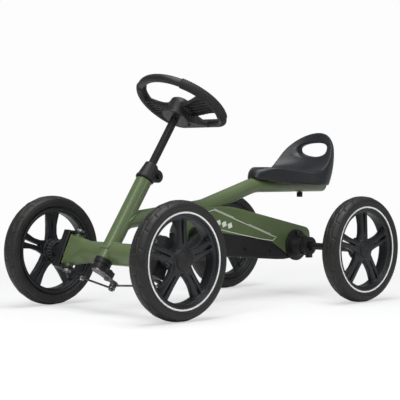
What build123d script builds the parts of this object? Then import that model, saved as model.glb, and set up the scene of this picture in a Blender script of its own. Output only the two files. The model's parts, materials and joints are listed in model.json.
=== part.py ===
from build123d import *
import os
from math import asin, atan2, cos, degrees, hypot, pi, radians, sin, sqrt, tan

# Pedal go kart. +X is forward, +Y is the driver's left, +Z is up.
# The origin is on the ground, midway between the axles. Millimetres.

# ---------------------------------------------------------------- sizes
wheelbase = 577.0
track_front = 428.0            # between the middles of the front tyres
track_rear = 452.0
tyre_radius = 125.0
tyre_width = 44.0
rim_seat_radius = 92.0         # where the tyre sits on the rim
rim_lip_radius = 97.3
rim_width = 38.0
rim_wall = 4.0
spoke_pairs = 5
hub_radius = 25.0
hub_boss_radius = 20.0
hub_half_length = 24.0         # from the tyre's middle plane to the inboard face
hub_face = 14.0                # from the tyre's middle plane to the outboard face
hub_pocket_radius = 17.0
hub_pocket_floor = 2.0
stub_radius = 6.0
rear_axle_radius = 8.5
nut_across_flats = 19.0
nut_height = 7.5

beam_radius = 24.5
beam_straight = 78.0           # half length of the round middle of the beam
beam_end = 143.0               # half length to the end plate
beam_end_depth = 26.0
beam_end_height = 74.0
beam_wall = 2.0
beam_rise = 3.0                # beam centre above the axle line
end_plate = 3.0

kingpin_spread = 264.0         # between the two kingpins
kingpin_lean = 24.0            # degrees back from upright
kingpin_radius = 5.0
barrel_radius = 10.0
barrel_height = 76.0
lug_thickness = 5.0
knuckle_depth = 34.0
knuckle_wall = 3.5
knuckle_inner = 148.0          # distance from the middle plane of the kart
knuckle_outer = 171.0
steering_arm = 46.0            # kingpin to tie rod pin

column_lean = 33.5             # degrees back from upright
column_forward = -3.2          # column base point, from the front axle
column_height = 152.3
head_radius = 18.25
head_wall = 2.0
head_low = -44.0               # along the column, from its base point
head_high = 160.0
bush_flange_radius = 19.5
shaft_radius = 12.7
shaft_wall = 2.1
shaft_low = -70.0
shaft_high = 190.0
post_room = 0.7                # between the sharp corners of the post and the shaft
post_wall = 1.6
post_low = 60.0
post_high = 352.0
collar_low_radius = 20.5
collar_high_radius = 15.0
collar_length = 40.0
pitman_length = 52.0
pitman_plate = 4.0
rod_radius = 2.25
pin_radius = 3.0
eye_radius = 8.0
eye_height = 5.0
eye_gap = 1.6

wheel_station = 368.0          # steering wheel plane, along the column
wheel_ring = 101.0
wheel_tube = 9.5
wheel_flat = 75.0
wheel_corner = 24.0
wheel_hub_radius = 27.0
grip_thickness = 2.0

main_radius = 18.25
main_wall = 2.0
main_start_height = 198.0      # where the tube's centre line meets the column's
main_bend_low = (15.7, 223.9)   # X and Z of the tube's centre line
main_bend_high = (-156.8, 274.75)
main_end = -406.0
main_bends = (150.0, 120.0)

case_width = 40.0
case_wall = 2.5
case_clearance = 3.0           # between the chain and the inside of the case
case_tail = 59.0               # how far the case reaches behind the rear axle
chain_pitch = 12.7
chain_links = 70
chainring_teeth = 18
sprocket_teeth = 12
chain_pin_radius = 1.6
chain_roller_radius = 2.0
chain_plate = 1.0
chain_plate_height = 6.4
chain_inner_width = 4.0
sprocket_thickness = 2.6
crank_rise = 35.0              # crank axle above the rear axle
crank_length = 78.0
crank_angle = -28.0            # left crank, degrees up from forward
crank_axle_radius = 8.0
crank_near = 34.0              # inner face of a crank arm from the middle plane
crank_thickness = 10.0
pedal_length = 70.0
pedal_near = 51.0
pedal_far = 120.0
pedal_thickness = 22.0
spindle_radius = 4.5

bearing_bore = rear_axle_radius
bearing_outer = 17.5
bearing_width = 10.0
housing_flange = 38.0
housing_screw_circle = 31.5
housing_reach = 70.0           # outer end of a housing from the middle plane

seat_front = -146.0
seat_rear = -411.0
seat_half_width = 92.0
seat_back_travel = 10.0
seat_forward_travel = 30.0
seat_bolt_x = -326.0
seat_bolt_radius = 4.0
seat_knob_radius = 5.5
seat_knob_height = 11.0
seat_washer = 1.6

running = 0.05                 # radial clearance of a shaft in its hole
seat_gap = 0.3                 # between pieces that meet on curved faces
pin_play = 1.2                 # free play of the tie rod on the knuckle pin

# ------------------------------------------------------- derived places
front_x = wheelbase / 2
rear_x = -wheelbase / 2
axle_z = tyre_radius
beam_z = axle_z + beam_rise
crank_z = axle_z + crank_rise
main_top = main_bend_high[1] + main_radius
case_half = case_width / 2

lean = radians(column_lean)
COLUMN = Plane(
    origin=(front_x + column_forward, 0, column_height),
    x_dir=(cos(lean), 0, sin(lean)),
    z_dir=(-sin(lean), 0, cos(lean)),
)
main_start = (front_x + column_forward - (main_start_height - column_height) * tan(lean), main_start_height)
post_side = sqrt(2) * (shaft_radius - shaft_wall - post_room)
tilt = radians(kingpin_lean)


def kingpin_plane(side):
    """Frame of a kingpin: z up along the pin, x forward."""
    return Plane(
        origin=(front_x, side * kingpin_spread / 2, beam_z),
        x_dir=(cos(tilt), 0, sin(tilt)),
        z_dir=(-sin(tilt), 0, cos(tilt)),
    )


ring_path = chain_pitch * chainring_teeth / (2 * pi)
sprocket_path = chain_pitch * sprocket_teeth / (2 * pi)


def chain_length(distance):
    """Length of the chain's loop for a given distance between the axles."""
    swing = asin((ring_path - sprocket_path) / distance)
    runs = 2 * distance * cos(swing)
    return runs + ring_path * (pi + 2 * swing) + sprocket_path * (pi - 2 * swing)


def axle_distance():
    """Distance between the axles that a whole number of links fits."""
    low, high = chain_pitch * chain_links / 4, chain_pitch * chain_links
    for _ in range(60):
        middle = (low + high) / 2
        if chain_length(middle) < chain_pitch * chain_links:
            low = middle
        else:
            high = middle
    return low


chain_centres = axle_distance()
crank_x = rear_x + sqrt(chain_centres**2 - crank_rise**2)
case_nose = ring_path + chain_plate_height / 2 + case_clearance + case_wall

BASE = (Align.CENTER, Align.CENTER, Align.MIN)


# ------------------------------------------------------------- helpers
def rod(radius, length, at=(0, 0, 0), axis=(0, 0, 1)):
    """Cylinder that starts at a point and runs along an axis."""
    return Plane(origin=at, z_dir=axis) * Cylinder(radius, length, align=BASE)


def pipe(outer, inner, length, at=(0, 0, 0), axis=(0, 0, 1)):
    return rod(outer, length, at, axis) - rod(inner, length, at, axis)


def hexagon(across_flats, height, hole, at=(0, 0, 0), axis=(0, 0, 1)):
    """Hexagonal nut or bolt head that starts at a point."""
    shape = extrude(RegularPolygon(across_flats / 2, 6, major_radius=False), height)
    if hole:
        shape -= Cylinder(hole, height * 3)
    return Plane(origin=at, z_dir=axis) * shape


def profile_xz(face, half_width):
    """Solid of a face drawn in X and Z, as wide as the middle plane allows."""
    return extrude(Plane.XZ * face, half_width, both=True)


def outline(*edges):
    return make_face(Wire(edges))


def save(node, *pieces):
    solids = [solid for piece in pieces for solid in piece.solids()]
    export_step(solids[0] if len(solids) == 1 else Compound(children=solids), f"parts/{node}.step")


def both_sides(piece):
    return piece, mirror(piece, about=Plane.XZ)


# --------------------------------------------------------------- wheels
def tyre():
    half = tyre_width / 2
    lip = rim_width / 2
    shoulder = tyre_radius - 9
    edges = [
        Line((rim_seat_radius, -lip + 7), (rim_seat_radius, lip - 7)),
        Line((rim_seat_radius, lip - 7), (rim_lip_radius + seat_gap, lip - 5)),
        Line((rim_lip_radius + seat_gap, lip - 5), (rim_lip_radius + seat_gap, lip)),
        Line((rim_lip_radius + seat_gap, lip), (shoulder - 8, half - 0.4)),
        ThreePointArc((shoulder - 8, half - 0.4), (shoulder, half - 1.2), (shoulder + 4, half - 4)),
        ThreePointArc((shoulder + 4, half - 4), (tyre_radius, 0), (shoulder + 4, 4 - half)),
        ThreePointArc((shoulder + 4, 4 - half), (shoulder, 1.2 - half), (shoulder - 8, 0.4 - half)),
        Line((shoulder - 8, 0.4 - half), (rim_lip_radius + seat_gap, -lip)),
        Line((rim_lip_radius + seat_gap, -lip), (rim_lip_radius + seat_gap, 5 - lip)),
        Line((rim_lip_radius + seat_gap, 5 - lip), (rim_seat_radius, 7 - lip)),
    ]
    return revolve(Plane.XZ * outline(*edges), Axis.Z)


def rim(bore):
    lip = rim_width / 2
    seat = rim_seat_radius - seat_gap
    barrel = Polyline(
        (seat, 7 - lip), (rim_lip_radius, 5 - lip), (rim_lip_radius, -lip),
        (rim_lip_radius - rim_wall, -lip), (seat - rim_wall, 8 - lip),
        (seat - rim_wall, lip - 8), (rim_lip_radius - rim_wall, lip),
        (rim_lip_radius, lip), (rim_lip_radius, lip - 5), (seat, lip - 7), close=True,
    )
    shape = revolve(Plane.XZ * make_face(barrel), Axis.Z)
    shape += rod(hub_radius, hub_face + 18, (0, 0, -18))
    shape += rod(hub_boss_radius, hub_half_length - 18, (0, 0, -hub_half_length))
    spoke = outline(
        Line((hub_radius - 6, 16), (hub_radius - 6, -16)),
        ThreePointArc((hub_radius - 6, -16), (54, -13), (seat - 1.5, -20)),
        Line((seat - 1.5, -20), (seat - 1.5, 20)),
        ThreePointArc((seat - 1.5, 20), (54, 13), (hub_radius - 6, 16)),
    )
    slot = Pos(60, 0) * SlotCenterToCenter(46, 4)
    spoke = (spoke & Circle(seat - 1.0)) - slot
    pair = Pos(0, 0, -3) * extrude(spoke, hub_face + 1)
    for number in range(spoke_pairs):
        shape += Rot(0, 0, 360 * number / spoke_pairs) * pair
    shape -= rod(bore + running, 80, (0, 0, -40))
    shape -= rod(hub_pocket_radius, 40, (0, 0, hub_pocket_floor))
    return shape


def hub_cap():
    """Push-in cap over the axle nut, with a crowned face."""
    height = 5.0
    crown = 60.0
    disc = rod(hub_pocket_radius + 3.5, height, (0, 0, hub_face))
    disc = disc & Pos(0, 0, hub_face + height - crown) * Sphere(crown)
    return disc + pipe(hub_pocket_radius - 0.15, hub_pocket_radius - 2, 4.5, (0, 0, hub_face - 4))


def wheel_plane(x, track, side):
    """Frame of a wheel: z outboard, x up."""
    return Plane(origin=(x, side * track / 2, axle_z), x_dir=(0, 0, 1), z_dir=(0, side, 0))


def axle_nut():
    start = hub_pocket_floor + 0.2
    return hexagon(nut_across_flats, nut_height, stub_radius, (0, 0, start))


# ---------------------------------------------------- front beam and ends
def beam_section(width, height, corner, y):
    station = Plane(origin=(front_x, y, beam_z), x_dir=(cos(tilt), 0, sin(tilt)), z_dir=(0, -1, 0))
    return station * RectangleRounded(width, height, corner)


def flared_end(side, wall):
    round_size = 2 * (beam_radius - wall)
    narrow = beam_section(round_size, round_size, beam_radius - wall - 0.1, side * beam_straight)
    wide = beam_section(
        beam_end_depth - 2 * wall, beam_end_height - 2 * wall, 10 - wall, side * beam_end
    )
    return loft([narrow, wide])


def front_beam():
    middle = rod(beam_radius, 2 * beam_straight, (front_x, -beam_straight, beam_z), (0, 1, 0))
    hollow = rod(
        beam_radius - beam_wall, 2 * beam_straight, (front_x, -beam_straight, beam_z), (0, 1, 0)
    )
    shape = middle + flared_end(1, 0) + flared_end(-1, 0)
    shape -= hollow
    for side in (1, -1):
        shape -= flared_end(side, beam_wall)
        shape -= kingpin_plane(side) * Cylinder(barrel_radius, 2 * barrel_height)
    shape -= COLUMN * rod(head_radius, 120, (0, 0, -90))
    return shape - COLUMN * rod(bush_flange_radius + seat_gap, 60, (0, 0, head_low - 60))


def end_plate_piece():
    plate = Plane(origin=(front_x, beam_end, beam_z), x_dir=(cos(tilt), 0, sin(tilt)), z_dir=(0, 1, 0))
    return plate * extrude(RectangleRounded(beam_end_depth, beam_end_height, 5), end_plate)


def kingpin_barrel(side):
    place = kingpin_plane(side)
    hole = kingpin_radius + running
    return place * pipe(barrel_radius, hole, barrel_height, (0, 0, -barrel_height / 2))


lug_inner = barrel_height / 2 + seat_gap
lug_outer = lug_inner + lug_thickness


def kingpin_bolt(side):
    place = kingpin_plane(side)
    top = lug_outer + seat_gap
    shank = rod(kingpin_radius, 2 * top + 9, (0, 0, -top - 9))
    head = hexagon(17, 6, 0, (0, 0, top))
    nut = hexagon(17, 8, kingpin_radius, (0, 0, -top - 8))
    return place * (shank + head), place * nut


def knuckle(side):
    """Channel that hugs the beam's end, with lugs, a stub boss and a steering arm."""
    reach = side * (knuckle_outer - kingpin_spread / 2)
    near = side * (knuckle_inner - kingpin_spread / 2)
    middle = (reach + near) / 2
    body = Pos(0, middle, 0) * Box(knuckle_depth, abs(reach - near), 2 * lug_outer)
    pocket_reach = abs(reach - near) - knuckle_wall
    pocket = Pos(0, near + side * pocket_reach / 2, 0) * Box(
        knuckle_depth - 2 * knuckle_wall, pocket_reach, 2 * lug_inner
    )
    body = fillet(body.edges().filter_by(Axis.Z), 3) - pocket
    ear = Circle(knuckle_depth / 2 - 3) + Pos(0, near / 2) * Rectangle(knuckle_depth - 6, abs(near) + 2)
    upper = Pos(0, 0, lug_inner) * extrude(ear, lug_thickness)
    lower = Pos(0, 0, -lug_outer) * extrude(ear, lug_thickness)
    arm = Pos(-steering_arm / 2, 0) * Rectangle(steering_arm, 15)
    arm += Pos(-steering_arm, 0) * Circle(7.5)
    body += upper + lower + Pos(0, 0, -lug_outer) * extrude(arm, lug_thickness)
    body -= Cylinder(kingpin_radius + running, 4 * lug_outer)
    body -= Pos(-steering_arm, 0, 0) * Cylinder(pin_radius, 4 * lug_outer)
    shape = kingpin_plane(side) * body
    boss_end = track_front / 2 - hub_half_length - 4.8
    axis = (0, side, 0)
    boss_start = knuckle_outer - knuckle_wall
    shape += rod(16, boss_end - boss_start, (front_x, side * boss_start, axle_z), axis)
    return shape - rod(stub_radius, 200, (front_x, side * (knuckle_inner + 2), axle_z), axis)


def knuckle_pin(side):
    """Pin at the end of the steering arm that carries the tie rod."""
    length = eye_height + 2 * eye_gap
    place = kingpin_plane(side)
    shank = rod(pin_radius, length + lug_thickness, (-steering_arm, 0, -lug_outer - length))
    head = rod(pin_radius + 2.5, 2, (-steering_arm, 0, -lug_outer - length - 2))
    return place * (shank + head)


def stub_axle(side):
    """Front wheel bolt: head inside the knuckle, collar against the hub, nut outboard."""
    axis = (0, side, 0)
    boss_end = track_front / 2 - hub_half_length - 4.8
    web = knuckle_outer - knuckle_wall
    end = track_front / 2 + hub_pocket_floor + nut_height + 1
    shank = rod(stub_radius, end - web, (front_x, side * web, axle_z), axis)
    head = hexagon(nut_across_flats, 6, 0, (front_x, side * (web - 6), axle_z), axis)
    collar = rod(13, 4.3, (front_x, side * (boss_end + 0.2), axle_z), axis)
    return shank + head + collar


def column_point(x, y, z):
    """Row position of a point given in the column's frame."""
    return COLUMN.from_local_coords(Vector(x, y, z))


def rod_ends(side):
    """Centres of the tie rod's two eyes: on the pitman pin and on the knuckle pin."""
    level = shaft_low - pitman_plate - eye_gap - eye_height / 2
    if side < 0:
        level -= eye_height + eye_gap
    inner = column_point(-pitman_length, 0, level)
    drop = -lug_outer - eye_gap - eye_height / 2
    outer = kingpin_plane(side).from_local_coords(Vector(-steering_arm, 0, drop))
    return inner, outer


def tie_rod(side):
    inner, outer = rod_ends(side)
    span = outer - inner
    length = span.length
    bar = rod(rod_radius, length, inner, span.normalized())
    eye = Cylinder(eye_radius, eye_height)
    inner_eye = Plane(origin=inner, z_dir=COLUMN.z_dir)
    outer_eye = Plane(origin=outer, z_dir=kingpin_plane(side).z_dir)
    shape = bar + inner_eye * eye + outer_eye * eye
    shape -= inner_eye * Cylinder(pin_radius + running, eye_height * 3)
    return shape - outer_eye * Cylinder(pin_radius + pin_play, eye_height * 3)


# -------------------------------------------------------- steering column
def head_tube():
    return COLUMN * pipe(head_radius, head_radius - head_wall, head_high - head_low, (0, 0, head_low))


def head_bushes():
    bore = shaft_radius + running
    inside = head_radius - head_wall
    flange = rod(bush_flange_radius, 12, (0, 0, head_low - 12.3))
    lower = flange + rod(inside, 20.4, (0, 0, head_low - 0.4))
    lower -= rod(bore, 60, (0, 0, head_low - 20))
    upper = rod(inside, 18, (0, 0, head_high - 18)) + rod(head_radius, 3, (0, 0, head_high))
    upper -= rod(bore, 60, (0, 0, head_high - 30))
    return COLUMN * lower, COLUMN * upper


def square(side, corner):
    return RectangleRounded(side, side, corner)


def steering_shaft():
    tube = pipe(shaft_radius, shaft_radius - shaft_wall, shaft_high - shaft_low, (0, 0, shaft_low))
    return COLUMN * tube


def clamp_collar():
    """Collar that grips the post: tapered sleeve, square throat and two round ears."""
    start = head_high + 3 + seat_gap
    taper = outline(
        Line((0, start), (collar_low_radius, start)),
        Line((collar_low_radius, start), (collar_high_radius, start + collar_length)),
        Line((collar_high_radius, start + collar_length), (0, start + collar_length)),
        Line((0, start + collar_length), (0, start)),
    )
    body = revolve(Plane.XZ * taper, Axis.Z)
    ear_x, ear_z, ear_radius = clamp_ear()
    ears = rod(ear_radius, 22, (ear_x, -11, ear_z), (0, 1, 0))
    ears += Pos(ear_x / 2, 0, ear_z) * Box(abs(ear_x), 22, 2 * ear_radius - 4)
    body += ears
    body -= Pos(ear_x, 0, ear_z) * Box(2 * abs(ear_x), 2, 60)
    body -= rod(shaft_radius, shaft_high + 0.2)
    throat = extrude(square(post_side + 2 * running, 1.5), 80)
    body -= Pos(0, 0, shaft_high - 1) * throat
    body -= rod(3.1, 80, (ear_x, -40, ear_z), (0, 1, 0))
    return COLUMN * body


def clamp_ear():
    """Place and radius of the collar's ears in the column's frame."""
    return -24.0, head_high + 3 + seat_gap + 24, 14.0


def clamp_bolt():
    ear_x, ear_z, _ = clamp_ear()
    bolt = rod(3, 30, (ear_x, -15, ear_z), (0, 1, 0)) + rod(6, 5, (ear_x, 11.2, ear_z), (0, 1, 0))
    nut = hexagon(10, 4, 3, (ear_x, -11.2, ear_z), (0, -1, 0))
    return COLUMN * bolt, COLUMN * nut


def steering_post():
    outer = extrude(square(post_side, 1.5), post_high - post_low)
    inner = extrude(square(post_side - 2 * post_wall, 0.6), post_high - post_low)
    return COLUMN * Pos(0, 0, post_low) * (outer - inner)


def lower_clamp():
    """Split clamp that holds the pitman arm to the shaft."""
    top = head_low - 12.6
    height = top - shaft_low
    shape = Circle(18) + Pos(-17, 0) * Rectangle(34, 18) + Pos(-32, 0) * Circle(9)
    shape -= Circle(shaft_radius)
    shape -= Pos(-27, 0) * Rectangle(30, 1.6)
    shape -= Pos(-28, 0) * Circle(3.1)
    return COLUMN * Pos(0, 0, shaft_low) * extrude(shape, height)


def pitman_arm():
    shape = Circle(16) + Circle(9).moved(Location((-pitman_length, 0)))
    shape += make_hull([*Circle(13).edges(), *Circle(8).moved(Location((-pitman_length, 0))).edges()])
    shape -= Pos(-28, 0) * Circle(3.1)
    shape -= Pos(-pitman_length, 0) * Circle(pin_radius)
    return COLUMN * Pos(0, 0, shaft_low - pitman_plate) * extrude(shape, pitman_plate)


def linkage_screws():
    """Screw through the clamp's ears, pitman pin, and its clip."""
    top = head_low - 12.6
    screw = rod(3, top - shaft_low + 8, (-28, 0, shaft_low - 7)) + rod(5.5, 3, (-28, 0, top + 0.1))
    nut = hexagon(10, 4, 3, (-28, 0, shaft_low - 8.1))
    length = 2 * eye_height + 3 * eye_gap
    low = shaft_low - pitman_plate - length
    pin = rod(pin_radius, length + pitman_plate, (-pitman_length, 0, low))
    pin += rod(pin_radius + 2.5, 2, (-pitman_length, 0, shaft_low))
    clip = rod(pin_radius + 2.5, 1.5, (-pitman_length, 0, low - 1.5))
    return COLUMN * screw, COLUMN * nut, COLUMN * (pin + clip)


def ring_path_wire(radius, flat, corner):
    disc = Circle(radius) & Pos(radius - flat, 0) * Rectangle(2 * radius, 3 * radius)
    return fillet(disc.vertices(), corner).face().outer_wire()


def steering_wheel():
    """D-shaped wheel: tube ring, hub, two side arms and one lower arm."""
    path = ring_path_wire(wheel_ring, wheel_flat, wheel_corner)
    start = Plane(origin=path @ 0, z_dir=path % 0)
    ring = sweep(start * Circle(wheel_tube), path=path)
    side_arm = make_face(Polyline(
        (16, 18), (6, 60), (22, wheel_ring), (-34, wheel_ring - 6), (-30, 60), (-22, 18), close=True
    ))
    low_arm = make_face(Polyline(
        (-18, 20), (-wheel_flat, 30), (-wheel_flat, -30), (-18, -20), close=True
    ))
    inside = Circle(wheel_ring) & Pos(wheel_ring - wheel_flat, 0) * Rectangle(2 * wheel_ring, 400)
    arms = (side_arm + mirror(side_arm, about=Plane.XZ) + low_arm) & inside
    shape = ring + Pos(0, 0, -7) * extrude(arms, 7)
    shape += rod(wheel_hub_radius, 38, (0, 0, -34)) + rod(wheel_hub_radius + 5, 5, (0, 0, -38))
    socket = extrude(square(post_side + 2 * running, 1.5), 24)
    shape -= Pos(0, 0, post_high - wheel_station - 22) * socket
    shape -= Pos(0, 0, -40) * extrude(square(post_side + 2 * running, 1.5), 10)
    return COLUMN * Pos(0, 0, wheel_station) * shape


def wheel_grips():
    """Two thicker sleeves over the sides of the ring."""
    grips = []
    for start in (40, -130):
        arc = CenterArc((0, 0, 0), wheel_ring, start, 80)
        place = Plane(origin=arc @ 0, z_dir=arc % 0)
        outer = sweep(place * Circle(wheel_tube + grip_thickness), path=arc)
        inner = sweep(place * Circle(wheel_tube + 0.05), path=arc)
        grips.append(outer - inner)
    arms = Pos(0, 0, wheel_station - 7.2) * Box(74, 2 * wheel_ring, 7.4, align=BASE)
    return [COLUMN * (Pos(0, 0, wheel_station) * grip - arms) for grip in grips]


def wheel_hub_cap():
    cap = rod(wheel_hub_radius - 4, 3, (0, 0, 4.1))
    cap = fillet(cap.edges().group_by(Axis.Z)[-1], 2)
    return COLUMN * Pos(0, 0, wheel_station) * cap


# ----------------------------------------------------- main tube and case
def main_line(end_x):
    return FilletPolyline(
        (main_start[0], 0, main_start[1]), (main_bend_low[0], 0, main_bend_low[1]),
        (main_bend_high[0], 0, main_bend_high[1]), (end_x, 0, main_bend_high[1]),
        radius=main_bends,
    )


def main_solid(radius):
    line = main_line(main_end)
    return sweep(Plane(origin=line @ 0, z_dir=line % 0) * Circle(radius), path=line)


def main_tube():
    shape = main_solid(main_radius) - main_solid(main_radius - main_wall)
    shape -= COLUMN * rod(head_radius, 400, (0, 0, -100))
    slot_width = 2 * seat_bolt_radius + 1
    slot_length = seat_back_travel + seat_forward_travel + slot_width
    slot_middle = seat_bolt_x + (seat_forward_travel - seat_back_travel) / 2
    slot = Pos(slot_middle, 0) * SlotOverall(slot_length, slot_width)
    low = main_bend_high[1] - main_radius - 2
    return shape - Pos(0, 0, low) * extrude(slot, 2 * main_radius + 4)


def tube_end_cap():
    middle = main_bend_high[1]
    plug = rod(main_radius - main_wall - 0.1, 12, (main_end + 12, 0, middle), (-1, 0, 0))
    face = rod(main_radius, 5, (main_end, 0, middle), (-1, 0, 0))
    face = fillet(face.edges().group_by(Axis.X)[0], 4)
    return plug + face


def case_face(inset):
    """Side outline of the whole chain case, drawn in X and Z."""
    tail = rear_x - case_tail + inset
    body = Polygon(
        (crank_x, crank_z - case_nose + inset),
        (rear_x + 20, axle_z - 36.5 + inset),
        (rear_x - 20, axle_z - 28.5 + inset),
        (tail, axle_z + 6),
        (tail + 4, axle_z + 41 - inset),
        (main_bend_low[0] - 62.2, main_bend_low[1] + 5.1 - inset),
        (crank_x + 12 - inset, main_bend_low[1] - inset),
        align=None,
    )
    body = fillet(body.vertices().group_by(Axis.X)[0], 12)
    return body + Pos(crank_x, crank_z) * Circle(case_nose - inset)


def case_shell():
    outer = profile_xz(case_face(0), case_half)
    inner = profile_xz(case_face(case_wall), case_half - case_wall)
    return outer - inner


def lower_region(gap):
    """The part of the case that the black cover takes, drawn in X and Z."""
    region = Polygon(
        (crank_x + 91, crank_z + 7 - gap), (crank_x, crank_z + 12 - gap), (crank_x - 96, crank_z + 2 - gap),
        (rear_x + 168.5, axle_z + 26 - gap), (rear_x + 87.5, axle_z + 12 - gap),
        (rear_x + 54.5, axle_z - 6 - gap), (rear_x + 41.5, axle_z - 14 - gap),
        (rear_x + 24.5 + gap, axle_z - 24), (rear_x + 20.5 + gap, axle_z - 65),
        (crank_x + 91, axle_z - 65), align=None,
    )
    return region - Pos(crank_x, crank_z) * Circle(24 + gap)


def axle_holes():
    """Room for the axle's housings and the crank's bushes through the case."""
    holes = rod(bearing_outer + 2, 100, (rear_x, -50, axle_z), (0, 1, 0))
    return holes + rod(13, 100, (crank_x, -50, crank_z), (0, 1, 0))


def case_screw_places():
    return [
        (crank_x + 1, crank_z - 28), (crank_x - 69, axle_z + 3),
        (rear_x + 178.5, axle_z - 3), (rear_x + 88.5, axle_z - 11),
    ]


def housing_screw_places():
    return [
        (housing_screw_circle * cos(radians(angle)), housing_screw_circle * sin(radians(angle)))
        for angle in (90, 210, 330)
    ]


def rear_frame():
    shape = case_shell() - profile_xz(lower_region(0), 100)
    shape -= main_solid(main_radius)
    shape -= axle_holes()
    for dx, dz in housing_screw_places():
        shape -= rod(2.5, 100, (rear_x + dx, -50, axle_z + dz), (0, 1, 0))
    return max(shape.solids(), key=lambda solid: solid.volume)


def chain_case_cover():
    shape = case_shell() & profile_xz(lower_region(seat_gap), 100)
    shape -= main_solid(main_radius + seat_gap)
    shape -= axle_holes()
    for x, z in case_screw_places():
        shape -= rod(2.1, 100, (x, -50, z), (0, 1, 0))
    return max(shape.solids(), key=lambda solid: solid.volume)


def case_screws():
    screws = []
    for x, z in case_screw_places():
        screw = rod(2.0, case_wall + 3, (x, case_half + 0.1, z), (0, -1, 0))
        screw += rod(4.2, 2.4, (x, case_half + 0.1, z), (0, 1, 0))
        screws += both_sides(screw)
    return screws


def bearing_housing():
    """Left rear housing: flange, stepped barrel and a clamp lug at its end."""
    centre = (rear_x, 0, axle_z)
    out = (0, 1, 0)

    def at(y):
        return (centre[0], y, centre[2])

    shape = rod(housing_flange, 5, at(case_half + 0.1), out)
    shape += rod(24, 27, at(case_half + 5), out)
    shape += rod(20, housing_reach - case_half - 10, at(case_half + 10), out)
    shape += rod(22, 11, at(housing_reach - 11), out)
    shape += Pos(rear_x, housing_reach - 5.5, axle_z - 22) * Box(14, 11, 14)
    shape -= rod(rear_axle_radius + 1.5, 200, at(-10), out)
    shape -= rod(bearing_outer, 40, at(case_half - 10), out)
    for dx, dz in housing_screw_places():
        shape -= rod(2.6, 60, (rear_x + dx, 0, axle_z + dz), out)
    return shape


def bearing_screws():
    screws = []
    for dx, dz in housing_screw_places():
        x, z = rear_x + dx, axle_z + dz
        screw = rod(2.4, 9, (x, case_half + 5.1, z), (0, -1, 0))
        screw += rod(4.5, 4, (x, case_half + 5.1, z), (0, 1, 0))
        screws += both_sides(screw)
    return screws


def rear_bearing():
    end = case_half + 30
    return pipe(bearing_outer, bearing_bore + running, bearing_width, (rear_x, end, axle_z), (0, -1, 0))


def crank_bush():
    out = (0, 1, 0)
    shape = rod(13, case_wall + 0.1, (crank_x, case_half - case_wall, crank_z), out)
    shape += rod(20, 5, (crank_x, case_half + 0.1, crank_z), out)
    return shape - rod(crank_axle_radius + running, 60, (crank_x, 0, crank_z), out)


# --------------------------------------------------------------- drive
def rear_axle():
    """Shaft with a reduced end for each wheel nut."""
    out = (0, 1, 0)
    seat = track_rear / 2 + hub_pocket_floor
    shape = rod(rear_axle_radius, 2 * seat, (rear_x, -seat, axle_z), out)
    ends = rod(stub_radius, 2 * (seat + nut_height + 1), (rear_x, -seat - nut_height - 1, axle_z), out)
    return shape + ends


def sprocket(teeth, path, bore, hub):
    """Toothed disc whose tips stop just inside the chain's rollers."""
    disc = Circle(path - chain_roller_radius - 0.4)
    for number in range(teeth):
        angle = 2 * pi * (number + 0.5) / teeth
        disc -= Pos(path * cos(angle), path * sin(angle)) * Circle(chain_roller_radius + 1.6)
    shape = extrude(disc, sprocket_thickness / 2, both=True) + Cylinder(hub, 14)
    return Plane.XZ * (shape - Cylinder(bore, 40))


def chain_points():
    """Centres of the chain's pins, one pitch apart along the loop, in X and Z."""
    run_angle = atan2(crank_z - axle_z, crank_x - rear_x)
    swing = asin((ring_path - sprocket_path) / chain_centres)
    straight = chain_centres * cos(swing)
    ring_arc = ring_path * (pi + 2 * swing)
    tail_arc = sprocket_path * (pi - 2 * swing)
    points = []
    for number in range(chain_links):
        s = number * chain_pitch
        if s < ring_arc:
            angle = run_angle + pi / 2 + swing - s / ring_path
            points.append((crank_x + ring_path * cos(angle), crank_z + ring_path * sin(angle)))
            continue
        s -= ring_arc
        low = run_angle - pi / 2 - swing
        if s < straight:
            x = crank_x + ring_path * cos(low) + s * cos(run_angle + pi - swing)
            z = crank_z + ring_path * sin(low) + s * sin(run_angle + pi - swing)
            points.append((x, z))
            continue
        s -= straight
        if s < tail_arc:
            angle = low - s / sprocket_path
            points.append((rear_x + sprocket_path * cos(angle), axle_z + sprocket_path * sin(angle)))
            continue
        s -= tail_arc
        high = run_angle + pi / 2 + swing
        x = rear_x + sprocket_path * cos(high) + s * cos(run_angle + swing)
        z = axle_z + sprocket_path * sin(high) + s * sin(run_angle + swing)
        points.append((x, z))
    return points


def chain_link(inner):
    """One link with its first pin at the origin and its second on +X."""
    side_plate = Pos(chain_pitch / 2, 0) * SlotCenterToCenter(chain_pitch, chain_plate_height)
    near = chain_inner_width / 2 if inner else chain_inner_width / 2 + chain_plate + 0.15
    if inner:
        hole = chain_pin_radius + 0.15
        side_plate -= Circle(hole) + Pos(chain_pitch, 0) * Circle(hole)
        round_piece = Circle(chain_roller_radius + 0.15) - Circle(hole)
    else:
        round_piece = Circle(chain_pin_radius)
    plate = Pos(0, 0, near) * extrude(side_plate, chain_plate)
    posts = extrude(round_piece + Pos(chain_pitch, 0) * round_piece, near + chain_plate, both=True)
    return plate + mirror(plate, about=Plane.XY) + posts


def drive_chain():
    points = chain_points()
    kinds = (chain_link(True), chain_link(False))
    links = []
    for number, (x, z) in enumerate(points):
        next_x, next_z = points[(number + 1) % len(points)]
        heading = degrees(atan2(next_z - z, next_x - x))
        links.append(Pos(x, 0, z) * Rot(0, -heading, 0) * Rot(90, 0, 0) * kinds[number % 2])
    return links


def crank_end(side):
    """X and Z of the pedal spindle on one side."""
    angle = radians(crank_angle if side > 0 else crank_angle + 180)
    return crank_x + crank_length * cos(angle), crank_z + crank_length * sin(angle)


def crank_axle():
    length = crank_near + crank_thickness
    return rod(crank_axle_radius, 2 * length, (crank_x, -length, crank_z), (0, 1, 0))


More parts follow.
